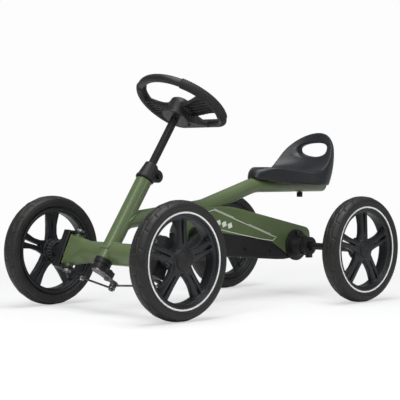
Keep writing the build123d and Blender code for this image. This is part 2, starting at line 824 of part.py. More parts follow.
def crank_arm(side):
    x, z = crank_end(side)
    face = make_hull([
        *(Pos(crank_x, crank_z) * Circle(12)).edges(), *(Pos(x, z) * Circle(9)).edges()
    ])
    face += Pos(crank_x, crank_z) * Circle(15)
    start = crank_near if side > 0 else -crank_near
    arm = Pos(0, start, 0) * extrude(Plane.XZ * face, -side * crank_thickness)
    arm += rod(15, crank_near - case_half - 5.6, (crank_x, side * (case_half + 5.6), crank_z), (0, side, 0))
    arm -= rod(crank_axle_radius, 200, (crank_x, -100, crank_z), (0, 1, 0))
    return arm - rod(spindle_radius, 200, (x, -100, z), (0, 1, 0))


def pedal_spindle(side):
    x, z = crank_end(side)
    start = crank_near
    shape = rod(spindle_radius, pedal_far - start - 2, (x, side * start, z), (0, side, 0))
    return shape + rod(7, 3, (x, side * (crank_near + crank_thickness + 0.1), z), (0, side, 0))


def pedal(side):
    x, z = crank_end(side)
    width = pedal_far - pedal_near
    block = Box(pedal_length, width, pedal_thickness)
    block = fillet(block.edges().filter_by(Axis.Y), 7)
    for offset in (-23, 23):
        block -= Pos(offset, 0, 0) * Box(12, width - 22, 60)
    bore = rod(spindle_radius + running, width + 40, (0, -side * (width / 2 + 20), 0), (0, side, 0))
    block -= bore & Pos(0, -side * 2, 0) * Box(40, width, 40)
    return Pos(x, side * (pedal_near + width / 2), z) * block


# ---------------------------------------------------------------- seat
def seat():
    """Moulded saddle with a high back and a hand hole through it."""
    widest_x = seat_front - 180
    side_view = outline(
        Line((seat_front, 288), (seat_front - 6, 302)),
        ThreePointArc((seat_front - 6, 302), (seat_front - 14, 313), (seat_front - 38, 318)),
        ThreePointArc((seat_front - 38, 318), (-270, 312), (-345, 325)),
        ThreePointArc((-345, 325), (-372, 354), (-388, 396)),
        ThreePointArc((-388, 396), (-396, 407), (seat_rear + 6, 402)),
        ThreePointArc((seat_rear + 6, 402), (seat_rear, 350), (seat_rear + 10, 298)),
        ThreePointArc((seat_rear + 10, 298), (seat_rear + 20, 280), (seat_rear + 38, 273)),
        Line((seat_rear + 38, 273), (-280, 274)),
        ThreePointArc((-280, 274), (-210, 280), (seat_front, 288)),
    )
    plan = outline(
        ThreePointArc((seat_front - 10, -17), (seat_front, 0), (seat_front - 10, 17)),
        Line((seat_front - 10, 17), (seat_front - 54, 46)),
        ThreePointArc((seat_front - 54, 46), (-262, 80), (widest_x, seat_half_width)),
        ThreePointArc((widest_x, seat_half_width), (-385, 80), (seat_rear, 0)),
        ThreePointArc((seat_rear, 0), (-385, -80), (widest_x, -seat_half_width)),
        ThreePointArc((widest_x, -seat_half_width), (-262, -80), (seat_front - 54, -46)),
        Line((seat_front - 54, -46), (seat_front - 10, -17)),
    )
    back_view = outline(
        Line((-seat_half_width, 260), (-seat_half_width, 325)),
        ThreePointArc((-seat_half_width, 325), (-66, 385), (0, 408)),
        ThreePointArc((0, 408), (66, 385), (seat_half_width, 325)),
        Line((seat_half_width, 325), (seat_half_width, 260)),
        Line((seat_half_width, 260), (-seat_half_width, 260)),
    )
    shape = profile_xz(side_view, seat_half_width + 5)
    shape = shape & extrude(plan, 600)
    shape = shape & extrude(Plane.YZ * back_view, 800, both=True)
    hole = Plane(origin=(0, 0, 362), x_dir=(0, 1, 0), z_dir=(1, 0, 0)) * SlotOverall(94, 34)
    shape -= extrude(hole, 800, both=True)
    channel_top = main_top + seat_gap
    channel_length = main_bend_high[0] - 20 - seat_rear
    channel = Box(channel_length, 2 * main_radius + 8, 60, align=(Align.MIN, Align.CENTER, Align.MAX))
    channel = Pos(seat_rear - 5, 0, channel_top) * channel
    shape -= channel
    notch = main_solid(main_radius + seat_gap)
    shape -= notch
    shape -= Pos(seat_back_travel, 0, 0) * notch
    for side in (1, -1):
        pocket = Pos(-300, side * 48, 230) * Box(150, 44, 70, align=BASE)
        shape -= pocket
    shape -= rod(seat_bolt_radius + running, 10, (seat_bolt_x, 0, main_top))
    return max(shape.solids(), key=lambda solid: solid.volume)


def seat_clamp_plate():
    """Washer that the knob pulls up against the underside of the main tube."""
    low = main_bend_high[1] - main_radius - seat_gap - seat_washer
    hole = seat_bolt_radius + running
    return pipe(seat_knob_radius + 2.5, hole, seat_washer, (seat_bolt_x, 0, low))


def seat_knob():
    """Hand knob and its bolt, up through the main tube into the seat."""
    under = main_bend_high[1] - main_radius - 2 * seat_gap - seat_washer
    lobes = Circle(seat_knob_radius)
    for number in range(7):
        angle = 2 * pi * number / 7
        lobes += Pos(seat_knob_radius * cos(angle), seat_knob_radius * sin(angle)) * Circle(2)
    grip = Pos(seat_bolt_x, 0, under - seat_knob_height) * extrude(lobes, seat_knob_height)
    return grip + rod(seat_bolt_radius, main_top + 9 - under, (seat_bolt_x, 0, under))


# --------------------------------------------------------------- build
def write_wheels():
    corners = {
        "front_left": (front_x, track_front, 1, stub_radius),
        "front_right": (front_x, track_front, -1, stub_radius),
        "rear_left": (rear_x, track_rear, 1, rear_axle_radius),
        "rear_right": (rear_x, track_rear, -1, rear_axle_radius),
    }
    shared_tyre, shared_cap = tyre(), hub_cap()
    rims = {stub_radius: rim(stub_radius), rear_axle_radius: rim(rear_axle_radius)}
    for corner, (x, track, side, bore) in corners.items():
        place = wheel_plane(x, track, side)
        save(f"tyre_{corner}", place * shared_tyre)
        save(f"rim_{corner}", place * rims[bore])
        save(f"hub_cap_{corner}", place * shared_cap)


def write_front():
    save("front_beam", front_beam())
    save("beam_end_plates", *both_sides(end_plate_piece()))
    save("kingpin_barrels", kingpin_barrel(1), kingpin_barrel(-1))
    save("kingpin_bolts", *kingpin_bolt(1), *kingpin_bolt(-1))
    for name, side in (("left", 1), ("right", -1)):
        nut = wheel_plane(front_x, track_front, side) * axle_nut()
        save(f"knuckle_{name}", knuckle(side))
        save(f"knuckle_pin_{name}", knuckle_pin(side))
        save(f"stub_axle_{name}", stub_axle(side), nut)
        save(f"tie_rod_{name}", tie_rod(side))


def write_steering():
    save("head_tube", head_tube())
    save("head_bushes", *head_bushes())
    save("steering_shaft", steering_shaft())
    save("clamp_collar", clamp_collar())
    save("clamp_bolt", *clamp_bolt())
    save("lower_clamp", lower_clamp())
    save("pitman_arm", pitman_arm())
    save("linkage_screws", *linkage_screws())
    save("steering_post", steering_post())
    save("steering_wheel", steering_wheel())
    save("wheel_grips", *wheel_grips())
    save("wheel_hub_cap", wheel_hub_cap())


def write_rear():
    save("main_tube", main_tube())
    save("tube_end_cap", tube_end_cap())
    save("rear_frame", rear_frame())
    save("chain_case_cover", chain_case_cover())
    save("case_screws", *case_screws())
    save("bearing_housings", *both_sides(bearing_housing()))
    save("bearing_screws", *bearing_screws())
    save("rear_bearings", *both_sides(rear_bearing()))
    save("crank_bushes", *both_sides(crank_bush()))
    save("rear_axle", rear_axle())
    nuts = [wheel_plane(rear_x, track_rear, side) * axle_nut() for side in (1, -1)]
    save("axle_nuts_rear", *nuts)


def write_drive():
    tail = sprocket(sprocket_teeth, sprocket_path, rear_axle_radius, 14)
    ring = sprocket(chainring_teeth, ring_path, crank_axle_radius, 13)
    save("rear_sprocket", Pos(rear_x, 0, axle_z) * tail)
    save("chainring", Pos(crank_x, 0, crank_z) * ring)
    save("drive_chain", *drive_chain())
    save("crank_axle", crank_axle())
    save("pedal_spindles", pedal_spindle(1), pedal_spindle(-1))
    for name, side in (("left", 1), ("right", -1)):
        save(f"crank_{name}", crank_arm(side))
        save(f"pedal_{name}", pedal(side))


def write_seat():
    save("seat", seat())
    save("seat_clamp_plate", seat_clamp_plate())
    save("seat_knob", seat_knob())


os.makedirs("parts", exist_ok=True)
write_wheels()
write_front()
write_steering()
write_rear()
write_drive()
write_seat()
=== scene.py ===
import json
from math import cos, pi, radians, sin, sqrt

import bpy
import numpy as np
from mathutils import Matrix, Vector


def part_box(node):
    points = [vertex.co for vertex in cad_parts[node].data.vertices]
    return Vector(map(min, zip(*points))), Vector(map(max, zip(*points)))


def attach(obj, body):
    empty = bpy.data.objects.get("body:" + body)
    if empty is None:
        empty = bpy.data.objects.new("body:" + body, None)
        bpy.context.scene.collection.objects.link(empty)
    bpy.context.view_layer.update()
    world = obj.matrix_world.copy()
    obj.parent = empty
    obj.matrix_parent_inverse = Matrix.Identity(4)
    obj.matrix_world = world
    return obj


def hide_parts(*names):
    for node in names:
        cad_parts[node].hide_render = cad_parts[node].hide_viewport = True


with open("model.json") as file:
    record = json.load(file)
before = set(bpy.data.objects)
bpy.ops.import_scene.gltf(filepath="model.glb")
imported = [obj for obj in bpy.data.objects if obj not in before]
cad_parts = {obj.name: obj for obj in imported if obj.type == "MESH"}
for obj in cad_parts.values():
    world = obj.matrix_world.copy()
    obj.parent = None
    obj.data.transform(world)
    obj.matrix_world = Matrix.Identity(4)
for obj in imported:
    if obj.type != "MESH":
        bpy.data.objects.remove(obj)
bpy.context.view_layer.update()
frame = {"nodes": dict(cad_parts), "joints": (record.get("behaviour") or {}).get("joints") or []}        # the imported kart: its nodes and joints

# The looks of the pedal go kart. The object's frame is in metres, +X forward, +Y to the driver's left,
# +Z up. Pieces are shaped in millimetres in a frame of their own and brought in by place().
MM = 0.001
CORNERS = ("front_left", "front_right", "rear_left", "rear_right")


# ------------------------------------------------------------------ frames
def joint(name):
    return next(j for j in frame["joints"] if j["name"] == name)


def axes_frame(origin, x_axis, z_axis):
    """Matrix from a piece's own millimetres to the object's metres."""
    z = Vector(z_axis).normalized()
    x = (Vector(x_axis) - z * Vector(x_axis).dot(z)).normalized()
    y = z.cross(x)
    turn = Matrix((x, y, z)).transposed().to_4x4()
    return Matrix.Translation(Vector(origin)) @ turn @ Matrix.Scale(MM, 4)


def side_of(corner):
    return 1 if corner.endswith("left") else -1


def wheel_frame(corner):
    """Wheel's own frame: z outboard, x up, from the middle of its tyre."""
    low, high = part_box(f"tyre_{corner}")
    return axes_frame((low + high) / 2, (0, 0, 1), (0, side_of(corner), 0))


steering = joint("steering_turn")
STEERING_AXIS = Vector(steering["axis"]).normalized()
COLUMN = axes_frame(steering["pos_m"], (1, 0, 0), STEERING_AXIS)
KART = Matrix.Scale(MM, 4)


def wheel_station():
    """Height of the steering wheel's plane along the column, in millimetres."""
    low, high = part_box("wheel_grips")
    return (COLUMN.inverted() @ ((low + high) / 2)).z


# ------------------------------------------------------------ mesh helpers
def new_piece(name, vertices, faces, place=KART):
    mesh = bpy.data.meshes.new(name)
    mesh.from_pydata([tuple(v) for v in np.asarray(vertices, float)], [], [tuple(f) for f in faces])
    mesh.transform(place)
    if place.determinant() < 0:
        mesh.flip_normals()
    mesh.shade_smooth()
    mesh.update()
    piece = bpy.data.objects.new(name, mesh)
    bpy.context.scene.collection.objects.link(piece)
    return piece


def finish_piece(piece, body, material, slot, *replaced):
    piece.data.materials.clear()
    piece.data.materials.append(material)
    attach(piece, body)
    if replaced:
        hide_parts(*replaced)
    return piece


def sculpt(solid, low, high, step):
    """Vertices and faces of the surface where solid(x, y, z) is zero; it is negative inside."""
    axes = [np.arange(a, b + step, step) for a, b in zip(low, high)]
    value = solid(*np.meshgrid(*axes, indexing="ij"))
    inside = value < 0
    cells = tuple(n - 1 for n in value.shape)
    total = np.zeros(cells + (3,))
    count = np.zeros(cells, int)
    crossings = []
    for axis in range(3):
        first = [slice(None)] * 3
        second = [slice(None)] * 3
        first[axis], second[axis] = slice(0, -1), slice(1, None)
        a, b = value[tuple(first)], value[tuple(second)]
        cross = inside[tuple(first)] != inside[tuple(second)]
        index = np.argwhere(cross)
        share = a[cross] / (a[cross] - b[cross])
        point = index.astype(float)
        point[:, axis] += share
        others = [k for k in range(3) if k != axis]
        for i in (0, 1):
            for j in (0, 1):
                cell = index.copy()
                cell[:, others[0]] -= i
                cell[:, others[1]] -= j
                good = np.all((cell >= 0) & (cell < np.array(cells)), axis=1)
                np.add.at(total, tuple(cell[good].T), point[good])
                np.add.at(count, tuple(cell[good].T), 1)
        crossings.append((axis, others, index, inside[tuple(first)][cross]))
    used = count > 0
    number = np.full(cells, -1)
    number[used] = np.arange(used.sum())
    points = total[used] / count[used][:, None] * step + np.array([a[0] for a in axes])
    faces = []
    for axis, others, index, starts_inside in crossings:
        ring = []
        for i, j in ((1, 1), (0, 1), (0, 0), (1, 0)):
            cell = index.copy()
            cell[:, others[0]] -= i
            cell[:, others[1]] -= j
            ring.append(number[tuple(np.clip(cell, 0, np.array(cells) - 1).T)])
        quads = np.stack(ring, axis=1)
        flip = starts_inside if axis == 1 else ~starts_inside
        quads[flip] = quads[flip][:, ::-1]
        faces.append(quads)
    return settle(solid, points, step), np.concatenate(faces)


def settle(solid, points, step):
    """Moves the points onto the surface along its slope."""
    h = step * 0.05
    for _ in range(3):
        x, y, z = points.T
        value = solid(x, y, z)
        slope = np.stack([
            solid(x + h, y, z) - solid(x - h, y, z),
            solid(x, y + h, z) - solid(x, y - h, z),
            solid(x, y, z + h) - solid(x, y, z - h),
        ], axis=1) / (2 * h)
        size = np.maximum((slope**2).sum(1), 0.05)
        move = -slope * (value / size)[:, None]
        length = np.linalg.norm(move, axis=1, keepdims=True)
        points = points + move * np.minimum(1, step * 0.5 / np.maximum(length, 1e-9))
    return points


def join(a, b, soft):
    """Union of two solids with a fillet of about that size."""
    h = np.clip(0.5 + 0.5 * (b - a) / soft, 0, 1)
    return b + (a - b) * h - soft * h * (1 - h)


def common(a, b, soft):
    return -join(-a, -b, soft)


def cut(a, b, soft):
    return common(a, -b, soft)


def cylinder(x, y, z, radius, low, high, soft):
    """Round bar along z with rounded ends."""
    return common(np.hypot(x, y) - radius, np.abs(z - (low + high) / 2) - (high - low) / 2, soft)


def ramp(value, start, end):
    t = np.clip((value - start) / (end - start), 0, 1)
    return t * t * (3 - 2 * t)


def turned(profile, segments, shape=None):
    """Ring of quads from a closed profile of (radius, height), turned about z."""
    profile = np.asarray(profile, float)
    angles = np.arange(segments) * 2 * pi / segments
    rows = len(profile)
    radius = np.repeat(profile[None, :, 0], segments, 0)
    height = np.repeat(profile[None, :, 1], segments, 0)
    turn = np.repeat(angles[:, None], rows, 1)
    if shape is not None:
        radius, height, turn = shape(radius, height, turn)
    points = np.stack([radius * np.cos(turn), radius * np.sin(turn), height], 2).reshape(-1, 3)
    i = np.arange(segments)[:, None]
    k = np.arange(rows)[None, :]
    following = (i + 1) % segments
    above = (k + 1) % rows
    quads = np.stack([
        (i * rows + k), (following * rows + k), (following * rows + above), (i * rows + above)
    ], 2).reshape(-1, 4)
    return points, quads


def bevelled(node, width, segments=2, angle=32):
    """Copy of a CAD node with its sharp edges rounded."""
    mesh = frame["nodes"][node].data.copy()
    mesh.name = f"{node}_body"
    piece = bpy.data.objects.new(f"{node}_body", mesh)
    bpy.context.scene.collection.objects.link(piece)
    weld = piece.modifiers.new("weld", "WELD")
    weld.merge_threshold = 2e-6
    flatten = piece.modifiers.new("flatten", "DECIMATE")
    flatten.decimate_type = "DISSOLVE"
    flatten.angle_limit = radians(0.5)
    bevel = piece.modifiers.new("bevel", "BEVEL")
    bevel.width = width * MM
    bevel.segments = segments
    bevel.limit_method = "ANGLE"
    bevel.angle_limit = radians(angle)
    bevel.harden_normals = False
    bpy.context.view_layer.update()
    made = bpy.data.meshes.new_from_object(piece.evaluated_get(bpy.context.evaluated_depsgraph_get()))
    made.name = f"{node}_rounded"
    piece.modifiers.clear()
    piece.data = made
    made.shade_smooth()
    made.set_sharp_from_angle(angle=radians(40))
    return piece


# --------------------------------------------------------------- materials
class Look:
    """A node material that is filled in step by step."""

    def __init__(self, name, colour, rough, metal=0.0):
        self.material = bpy.data.materials.new(name)
        self.material.use_nodes = True
        self.tree = self.material.node_tree
        self.shader = self.tree.nodes["Principled BSDF"]
        self.shader.inputs["Metallic"].default_value = metal
        self.where = self.tree.nodes.new("ShaderNodeTexCoord").outputs["Object"]
        self.colour = colour
        self.rough = rough
        self.height = None

    def noise(self, scale, detail=3.0, where=None, rough=0.5):
        node = self.tree.nodes.new("ShaderNodeTexNoise")
        node.inputs["Scale"].default_value = scale
        node.inputs["Detail"].default_value = detail
        node.inputs["Roughness"].default_value = rough
        self.tree.links.new(where or self.where, node.inputs["Vector"])
        return node.outputs["Fac"]

    def stretched(self, scale):
        node = self.tree.nodes.new("ShaderNodeMapping")
        node.inputs["Scale"].default_value = scale
        self.tree.links.new(self.where, node.inputs["Vector"])
        return node.outputs["Vector"]

    def spread(self, value, low, high, out_low, out_high):
        node = self.tree.nodes.new("ShaderNodeMapRange")
        for name, number in (("From Min", low), ("From Max", high), ("To Min", out_low), ("To Max", out_high)):
            node.inputs[name].default_value = number
        self.tree.links.new(value, node.inputs["Value"])
        return node.outputs["Result"]

    def mix(self, share, first, second):
        node = self.tree.nodes.new("ShaderNodeMix")
        node.data_type = "RGBA"
        self.tree.links.new(share, node.inputs["Factor"])
        for socket, value in ((node.inputs["A"], first), (node.inputs["B"], second)):
            if isinstance(value, tuple):
                socket.default_value = (*value, 1.0)
            else:
                self.tree.links.new(value, socket)
        return node.outputs["Result"]

    def bump(self, value, depth, strength=1.0):
        node = self.tree.nodes.new("ShaderNodeBump")
        node.inputs["Distance"].default_value = depth
        node.inputs["Strength"].default_value = strength
        self.tree.links.new(value, node.inputs["Height"])
        if self.height is not None:
            self.tree.links.new(self.height, node.inputs["Normal"])
        self.height = node.outputs["Normal"]

    def edges(self, low, high):
        """Share of edge lightening, partly rubbed wear and partly painted edge highlight: one on sharp convex
        edges.
        """
        node = self.tree.nodes.new("ShaderNodeNewGeometry")
        return self.spread(node.outputs["Pointiness"], low, high, 0.0, 1.0)

    def done(self, colour, rough):
        self.tree.links.new(colour, self.shader.inputs["Base Color"])
        self.tree.links.new(rough, self.shader.inputs["Roughness"])
        if self.height is not None:
            self.tree.links.new(self.height, self.shader.inputs["Normal"])
        return self.material


def moulded(name, colour, light, rough, grain, depth, gloss=0.3, edge_wear_and_highlight=0.0):
    """Moulded plastic: fine grain, faint flow marks and, on finely meshed pieces, edges lightened as rubbed wear
    and painted highlight.
    """
    look = Look(name, colour, rough)
    look.shader.inputs["Specular IOR Level"].default_value = gloss
    cloud = look.noise(9.0, 4.0)
    fine = look.noise(grain, 2.0)
    tint = look.mix(look.spread(cloud, 0.35, 0.65, 0, 1), colour, light)
    # convex edges are lightened: partly rubbed wear, partly painted edge highlight
    if edge_wear_and_highlight:
        tint = look.mix(look.edges(0.53, 0.62), tint, tuple(c * edge_wear_and_highlight for c in light))
    look.bump(fine, depth)
    look.bump(look.noise(70.0, 2.0), depth * 1.5)
    return look.done(tint, look.spread(fine, 0.3, 0.7, rough - 0.05, rough + 0.07))


def paint(name, colour, light, rough):
    """Satin powder coat with a faint orange peel."""
    look = Look(name, colour, rough)
    look.shader.inputs["Specular IOR Level"].default_value = 0.4
    peel = look.noise(420.0, 2.0)
    cloud = look.noise(6.0, 3.0)
    tint = look.mix(look.spread(cloud, 0.3, 0.7, 0, 1), colour, light)
    glint = look.spread(look.noise(2600.0, 1.0), 0.62, 0.75, 0, 0.35)
    speck = look.mix(glint, tint, tuple(c * 1.4 for c in light))
    look.bump(peel, 0.00022)
    look.shader.inputs["Coat Weight"].default_value = 0.3
    look.shader.inputs["Coat Roughness"].default_value = 0.22
    return look.done(speck, look.spread(peel, 0.3, 0.7, rough - 0.04, rough + 0.06))


def foam(name, colour, light):
    """Matt foam rubber with pores, a dusty bloom and edges lightened as rubbed wear and painted highlight."""
    look = Look(name, colour, 0.6)
    look.shader.inputs["Specular IOR Level"].default_value = 0.3
    cells = look.noise(1500.0, 3.0, rough=0.7)
    dust = look.noise(26.0, 5.0)
    tint = look.mix(look.spread(dust, 0.4, 0.72, 0, 1), colour, light)
    # convex edges are lightened: partly rubbed wear, partly painted edge highlight
    rubbed_and_highlit = look.mix(look.edges(0.51, 0.58), tint, tuple(c * 1.6 for c in light))
    look.bump(cells, 0.00018)
    look.bump(look.noise(180.0, 2.0), 0.0003)
    return look.done(rubbed_and_highlit, look.spread(dust, 0.3, 0.7, 0.40, 0.56))


def steel(name, colour, light, rough, drawn=(30, 30, 900)):
    """Zinc plated steel, faintly drawn along one direction."""
    look = Look(name, colour, rough, metal=1.0)
    lines = look.noise(1.0, 3.0, look.stretched(drawn))
    stain = look.noise(60.0, 4.0)
    tint = look.mix(look.spread(stain, 0.35, 0.7, 0, 1), light, colour)
    look.bump(lines, 0.00006)
    return look.done(tint, look.spread(lines, 0.3, 0.7, rough - 0.06, rough + 0.1))


def enamel(name, colour, light, rough):
    """Semi-gloss black paint on steel."""
    look = Look(name, colour, rough)
    look.shader.inputs["Specular IOR Level"].default_value = 0.35
    peel = look.noise(500.0, 2.0)
    tint = look.mix(look.spread(look.noise(20.0, 3.0), 0.35, 0.65, 0, 1), colour, light)
    look.bump(peel, 0.00015)
    look.shader.inputs["Coat Weight"].default_value = 0.15
    return look.done(tint, look.spread(peel, 0.3, 0.7, rough - 0.05, rough + 0.06))


GREEN = paint("army_green_paint", (0.074, 0.108, 0.040), (0.088, 0.124, 0.048), 0.42)
BLACK_PLASTIC = moulded(
    "black_moulded_plastic", (0.008, 0.008, 0.009), (0.012, 0.012, 0.013), rough=0.45, grain=1300.0, depth=0.00010,
)
CASE_PLASTIC = moulded(
    "case_cover_plastic", (0.009, 0.009, 0.009), (0.013, 0.013, 0.013), rough=0.50, grain=900.0, depth=0.00014,
    gloss=0.25, edge_wear_and_highlight=1.5,
)
WHEEL_PLASTIC = moulded(
    "steering_wheel_plastic", (0.010, 0.010, 0.011), (0.014, 0.014, 0.015), rough=0.40, grain=1100.0,
    depth=0.00012, gloss=0.35, edge_wear_and_highlight=1.8,
)
GRIP = moulded(
    "soft_grip", (0.011, 0.011, 0.011), (0.016, 0.016, 0.016), rough=0.55, grain=700.0, depth=0.00030,
    gloss=0.3, edge_wear_and_highlight=1.6,
)
SEAT_PLASTIC = moulded(
    "seat_plastic", (0.009, 0.010, 0.012), (0.013, 0.014, 0.017), rough=0.36, grain=1200.0, depth=0.00010,
    gloss=0.4, edge_wear_and_highlight=1.8,
)
RIM_PLASTIC = moulded(
    "rim_plastic", (0.007, 0.008, 0.009), (0.011, 0.012, 0.014), rough=0.38, grain=1200.0, depth=0.00010,
    gloss=0.35, edge_wear_and_highlight=1.8,
)
FOAM = foam("foam_rubber", (0.010, 0.0095, 0.009), (0.017, 0.016, 0.015))
WHITE_FOAM = moulded(
    "white_rubber", (0.80, 0.80, 0.79), (0.88, 0.88, 0.87), rough=0.45, grain=900.0, depth=0.00010,
)
STEEL = steel("zinc_plated_steel", (0.36, 0.36, 0.35), (0.52, 0.52, 0.50), 0.32)
DARK_STEEL = steel("dull_zinc", (0.14, 0.14, 0.14), (0.24, 0.24, 0.235), 0.42)
ENAMEL = enamel("black_enamel", (0.007, 0.007, 0.008), (0.011, 0.011, 0.012), 0.28)
DECAL = moulded("pale_decal", (0.60, 0.64, 0.56), (0.68, 0.71, 0.64), rough=0.38, grain=600.0, depth=0.00004)


# ------------------------------------------------------------------ wheels
TYRE_RADIUS = 125.0
CROWN_DROP = 5.0        # how much lower the crown is at the edge of the tread
TREAD_BLOCKS = 20
TREAD_STATIONS = (
    0.0, 0.02, 0.06, 0.08, 0.15, 0.22, 0.29, 0.36, 0.43,
    0.50, 0.52, 0.56, 0.58, 0.65, 0.72, 0.79, 0.86, 0.93,
)
TREAD_DEPTH = 1.3
TREAD_WAVE = 1.8        # sideways swing of the grooves round the tyre
RIB_EDGE = 7.5          # the circumferential grooves lie here, each side of the middle
TREAD_EDGE = 17.5
TREAD_SLANT = 0.0035    # radians of slant for each millimetre across


def tyre_half_profile():
    """Radius and height from the crown's middle out to the bead, on one side."""
    crown = [0, 3.5, RIB_EDGE - 0.9, RIB_EDGE - 0.4, RIB_EDGE + 0.4, RIB_EDGE + 0.9, 11, 14, 16, TREAD_EDGE]
    points = [(TYRE_RADIUS - CROWN_DROP * (z / TREAD_EDGE) ** 2.2, z) for z in crown]
    points += [(119.3, 18.5), (118.3, 19.6), (117.0, 20.5), (115.9, 20.9), (115.4, 20.5), (114.9, 21.1)]
    points += [(112.8, 21.6), (110.0, 21.6), (107.6, 21.2), (107.0, 20.5), (106.4, 20.7), (104.9, 20.7)]
    points += [(103.4, 20.2), (102.4, 19.1), (102.1, 17.4), (98.0, 17.2), (97.6, 16.6), (97.6, 14.2)]
    points += [(92.3, 12.0)]
    return points


def tread(radius, height, turn):
    """Sinks the tread's grooves and slants its cross grooves."""
    number = np.arange(radius.shape[0])[:, None]
    station = number % len(TREAD_STATIONS)
    share = np.array(TREAD_STATIONS)[station]
    across = np.abs(height)
    turn = (number // len(TREAD_STATIONS) + share) * 2 * pi / TREAD_BLOCKS
    turn = turn + np.minimum(across, 21) * TREAD_SLANT
    on_tread = (across <= TREAD_EDGE + 0.1) & (radius > 118)
    shoulder = on_tread & (across > RIB_EDGE + 0.5) & ((station == 1) | (station == 2))
    middle = on_tread & (across < RIB_EDGE - 0.5) & ((station == 10) | (station == 11))
    groove = on_tread & (np.abs(across - RIB_EDGE) < 0.5)
    radius = radius - np.where(shoulder | groove, TREAD_DEPTH, 0) - np.where(middle, TREAD_DEPTH * 0.6, 0)
    swing = np.interp(across, (0, 3.5, 6, 9, 11, 14), (0, 0.5, 1, 1, 0.6, 0))
    height = height + np.where(on_tread, np.sign(height) * swing * TREAD_WAVE * np.sin(2 * pi * share), 0)
    return radius, height, turn


def tyre_shape():
    half = tyre_half_profile()
    profile = [(r, -z) for r, z in half[::-1]] + half[1:]
    return turned(profile, TREAD_BLOCKS * len(TREAD_STATIONS), tread)


def ring_shape():
    """White ring let into the tyre's outboard face."""
    radius, half, edge, bulge, back = 99.8, 2.0, 17.7, 1.2, 16.6
    profile = []
    for step in range(9):
        angle = pi * step / 8
        profile.append((radius + half * cos(angle), edge + bulge * sin(angle)))
    profile += [(radius - half, back), (radius + half, back)]
    return turned(profile, 240)


RIM_SEAT = 91.7
RIM_LIP = 97.3
RIM_HALF = 19.0
RIM_WALL = 4.4
SPOKES = 5
HUB_RIBS = 20
HUB_OUTER = 25.0
HUB_INNER = 20.0
HUB_POCKET = 17.0
AXLE_HOLE = 8.6
SLOT_START, SLOT_END = 37, 85


def rim_solid(x, y, z):
    rho = np.hypot(x, y)
    outer = RIM_SEAT + (RIM_LIP - RIM_SEAT) * ramp(np.abs(z), 11.5, 14.5)
    barrel = common(np.abs(rho - outer + RIM_WALL / 2) - RIM_WALL / 2, np.abs(z) - RIM_HALF, 1.6)
    hub = cylinder(x, y, z, HUB_OUTER, -18.0, 14.0, 2.5)
    hub = join(hub, cylinder(x, y, z, HUB_INNER, -24.0, 0.0, 1.5), 2.0)
    sector = 2 * pi / SPOKES
    angle = (np.arctan2(y, x) + sector / 2) % sector - sector / 2
    u, v = rho * np.cos(angle), rho * np.sin(angle)
    wide = 12.8 + 7.5 * ramp(u, 52, 92) + 4.5 * ramp(u, 40, 20)
    across = (np.abs(v) - wide) * 0.97
    face = 12.0 - 2.4 * ramp(u, 40, 88) - 0.055 * np.maximum(np.abs(v) - 6.5, 0) ** 2
    deep = np.maximum(z - face, -3.5 - z)
    spoke = common(common(across, deep, 2.5), rho - RIM_SEAT + 1, 1.0)
    slot_u = np.clip(u, SLOT_START, SLOT_END)
    slot_wide = 1.6 + 1.6 * ramp(u, 40, 84)
    slot = np.hypot(u - slot_u, v) - slot_wide
    spoke = cut(spoke, slot, 1.6)
    ribs = 2 * pi / HUB_RIBS
    rib_angle = (np.arctan2(y, x) + ribs / 2) % ribs - ribs / 2
    rib_edge = np.maximum(rho - HUB_OUTER + 0.6 * (-z - 18), -z - 23.0)
    rib = common(np.abs(rho * np.sin(rib_angle)) - 1.1, rib_edge, 0.8)
    rib = common(rib, z + 10, 0.5)
    shape = join(join(hub, rib, 0.8), spoke, 4.0)
    shape = join(shape, barrel, 3.0)
    shape = cut(shape, cylinder(x, y, z, HUB_POCKET, 2.0, 40.0, 0.5), 0.6)
    return cut(shape, rho - AXLE_HOLE, 0.6)


def cap_shape():
    """Crowned cap pressed over the axle nut."""
    height, radius = 19.0, 20.5
    profile = [(0.001, height), (7, height - 0.25), (13, height - 0.9), (17, height - 1.7)]
    profile += [(18.8, height - 2.3), (19.9, height - 3.1), (radius, height - 4.2), (radius, 14.2)]
    profile += [(16.8, 14.1), (16.8, 10.2), (15.0, 10.2), (15.0, 13.5), (0.001, 14.0)]
    return turned(profile, 96)


def make_wheels():
    tyre, ring, cap = tyre_shape(), ring_shape(), cap_shape()
    rim = sculpt(rim_solid, (-100, -100, -26), (100, 100, 21), 1.5)
    bodies = {
        "front_left": "wheel_front_left", "front_right": "wheel_front_right",
        "rear_left": "rear_axle", "rear_right": "wheel_rear_right",
    }
    for corner in CORNERS:
        place = wheel_frame(corner)
        for name, shape, material, slot, replaced in (
            ("treaded_tyre", tyre, FOAM, "tyre_foam", ["tyre"]),
            ("white_ring", ring, WHITE_FOAM, "tyre_foam", []),
            ("spoked_rim", rim, RIM_PLASTIC, "rim_plastic", ["rim"]),
            ("crowned_cap", cap, BLACK_PLASTIC, "rim_plastic", ["hub_cap"]),
        ):
            piece = new_piece(f"{name}_{corner}", *shape, place)
            finish_piece(piece, bodies[corner], material, slot, *(f"{node}_{corner}" for node in replaced))


# -------------------------------------------------------------------- seat
SEAT_STATIONS = (-411, -370, -325, -280, -240, -200, -165, -150)
SEAT_HALF_WIDTHS = (93, 93, 92, 84, 68, 46, 25, 19)
SEAT_LOWER_EDGE = (283, 273, 273, 274, 278, 281, 287, 289)
SEAT_NOSE, SEAT_REAR = -146.0, -411.0
HAND_HOLE_HEIGHT = 362.0
HAND_HOLE_HALF = (47.0, 17.5)
TUBE_ROOM = 19.4          # radius of the groove that the main tube runs in
TUBE_TOP_LINE = 274.75    # height of the tube's centre line under the seat


def along_seat(x, values):
    """A size that changes smoothly from station to station along the seat."""
    return sum(np.interp(x + shift, SEAT_STATIONS, values) for shift in (-12, -6, 0, 6, 12)) / 5


